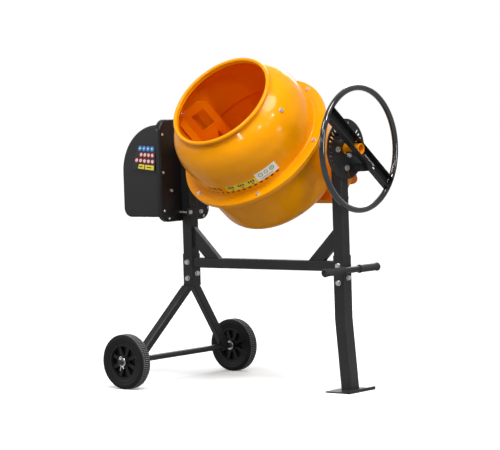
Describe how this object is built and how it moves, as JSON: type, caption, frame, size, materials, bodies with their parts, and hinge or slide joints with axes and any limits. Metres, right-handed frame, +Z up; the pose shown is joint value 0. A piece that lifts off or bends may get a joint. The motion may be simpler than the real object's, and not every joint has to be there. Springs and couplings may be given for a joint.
{
  "type": "concrete mixer",
  "caption": "Tilting-drum electric concrete mixer on a wheeled tube stand, with handwheel, lock disc and belt-driven ring gear.",
  "frame": {"origin": "middle of the floor area that the mixer covers, on the floor", "axes": "+X from the motor side to the handwheel side, -Y to the side the mouth faces, +Z up"},
  "size_m": [1.043, 0.685, 1.1838],
  "materials": {
    "frame_paint": "semi-gloss powder coat",
    "drum_paint": "glossy enamel",
    "wheel_paint": "glossy powder coat",
    "black_plastic": "fine texture",
    "tyre_rubber": "matt",
    "grip_rubber": "matt",
    "zinc": "zinc plated",
    "steel": "turned",
    "cast": "painted casting",
    "alloy": "die-cast",
    "belt_rubber": "matt",
    "green_plastic": "moulded",
    "red_plastic": "moulded"
  },
  "bodies": {
    "root": {"left_post": "frame_paint", "right_post": "frame_paint", "left_socket": "frame_paint", "right_leg": "frame_paint", "foot_plate": "frame_paint", "cross_beam": "frame_paint", "gusset_braces": "frame_paint", "front_axle_leg": "frame_paint", "rear_axle_leg": "frame_paint", "axle": "frame_paint", "wheel_retainers": "zinc", "frame_bolts": "zinc", "transport_handle": "frame_paint", "handle_grips": "grip_rubber", "left_bearing_sleeve": "frame_paint", "right_bearing_sleeve": "frame_paint", "lock_disc": "frame_paint", "disc_bolts": "zinc", "drive_belt": "belt_rubber", "motor_housing": "alloy", "motor_bracket": "frame_paint", "capacitor": "black_plastic", "housing_tray": "black_plastic", "housing_cover": "black_plastic", "housing_screws": "zinc", "strap_clamp": "frame_paint", "clamp_bolts": "zinc", "switch_body": "black_plastic", "power_inlet": "black_plastic"},
    "tilt_yoke": {"yoke": "drum_paint", "left_trunnion": "drum_paint", "right_trunnion": "drum_paint", "shaft_bearings": "steel", "drum_spindle": "steel", "spindle_nuts": "zinc", "pivot_bolt": "zinc"},
    "drum": {"drum_upper": "drum_paint", "drum_lower": "drum_paint", "ring_gear": "cast", "drum_hub": "cast", "hub_bearings": "steel", "hub_cap": "drum_paint", "mixing_blades": "drum_paint", "drum_bolts": "zinc"},
    "drive": {"drive_shaft": "steel", "large_pulley": "alloy", "pinion": "steel"},
    "rotor": {"motor_rotor": "steel", "small_pulley": "steel"},
    "handwheel": {"handwheel_rim": "wheel_paint", "handwheel_spoke": "frame_paint", "lock_tongue": "frame_paint", "lock_spring": "steel"},
    "front_wheel": {"front_tyre": "tyre_rubber", "front_hub": "black_plastic"},
    "rear_wheel": {"rear_tyre": "tyre_rubber", "rear_hub": "black_plastic"},
    "start": {"start_button": "green_plastic"},
    "stop": {"stop_button": "red_plastic"}
  },
  "joints": [
    {"name": "drum_tilt", "type": "hinge", "parent": "root", "child": "tilt_yoke", "pos_m": [0.069, 0.00153, 0.851], "axis": [1, 0, 0], "range_deg": [-118, 138]},
    {"name": "drum_spin", "type": "hinge", "parent": "tilt_yoke", "child": "drum", "pos_m": [0.069, 0.00153, 0.851], "axis": [0, -0.766, 0.6428], "continuous": true},
    {"name": "pinion_spin", "type": "hinge", "parent": "tilt_yoke", "child": "drive", "pos_m": [0.069, 0.00153, 0.851], "axis": [1, 0, 0], "continuous": true},
    {"name": "motor_spin", "type": "hinge", "parent": "root", "child": "rotor", "pos_m": [0.069, 0.00153, 0.69], "axis": [1, 0, 0], "continuous": true},
    {"name": "handwheel_rock", "type": "hinge", "parent": "tilt_yoke", "child": "handwheel", "pos_m": [0.477, 0.00153, 0.851], "axis": [0, 0.6157, 0.788], "range_deg": [0, 5], "stiffness_Nm_per_rad": 60, "springref_deg": -2.86},
    {"name": "front_wheel_spin", "type": "hinge", "parent": "root", "child": "front_wheel", "pos_m": [-0.3445, -0.30247, 0.1], "axis": [0, 1, 0], "continuous": true},
    {"name": "rear_wheel_spin", "type": "hinge", "parent": "root", "child": "rear_wheel", "pos_m": [-0.3445, 0.30553, 0.1], "axis": [0, 1, 0], "continuous": true},
    {"name": "start_press", "type": "slide", "parent": "root", "child": "start", "axis": [1, 0, 0], "range_m": [0, 0.003], "stiffness_N_per_m": 800},
    {"name": "stop_press", "type": "slide", "parent": "root", "child": "stop", "axis": [1, 0, 0], "range_m": [0, 0.003], "stiffness_N_per_m": 800}
  ],
  "couplings": [
    {"joint": "pinion_spin", "follows": "drum_spin", "ratio": 11},
    {"joint": "motor_spin", "follows": "drum_spin", "ratio": 80}
  ]
}
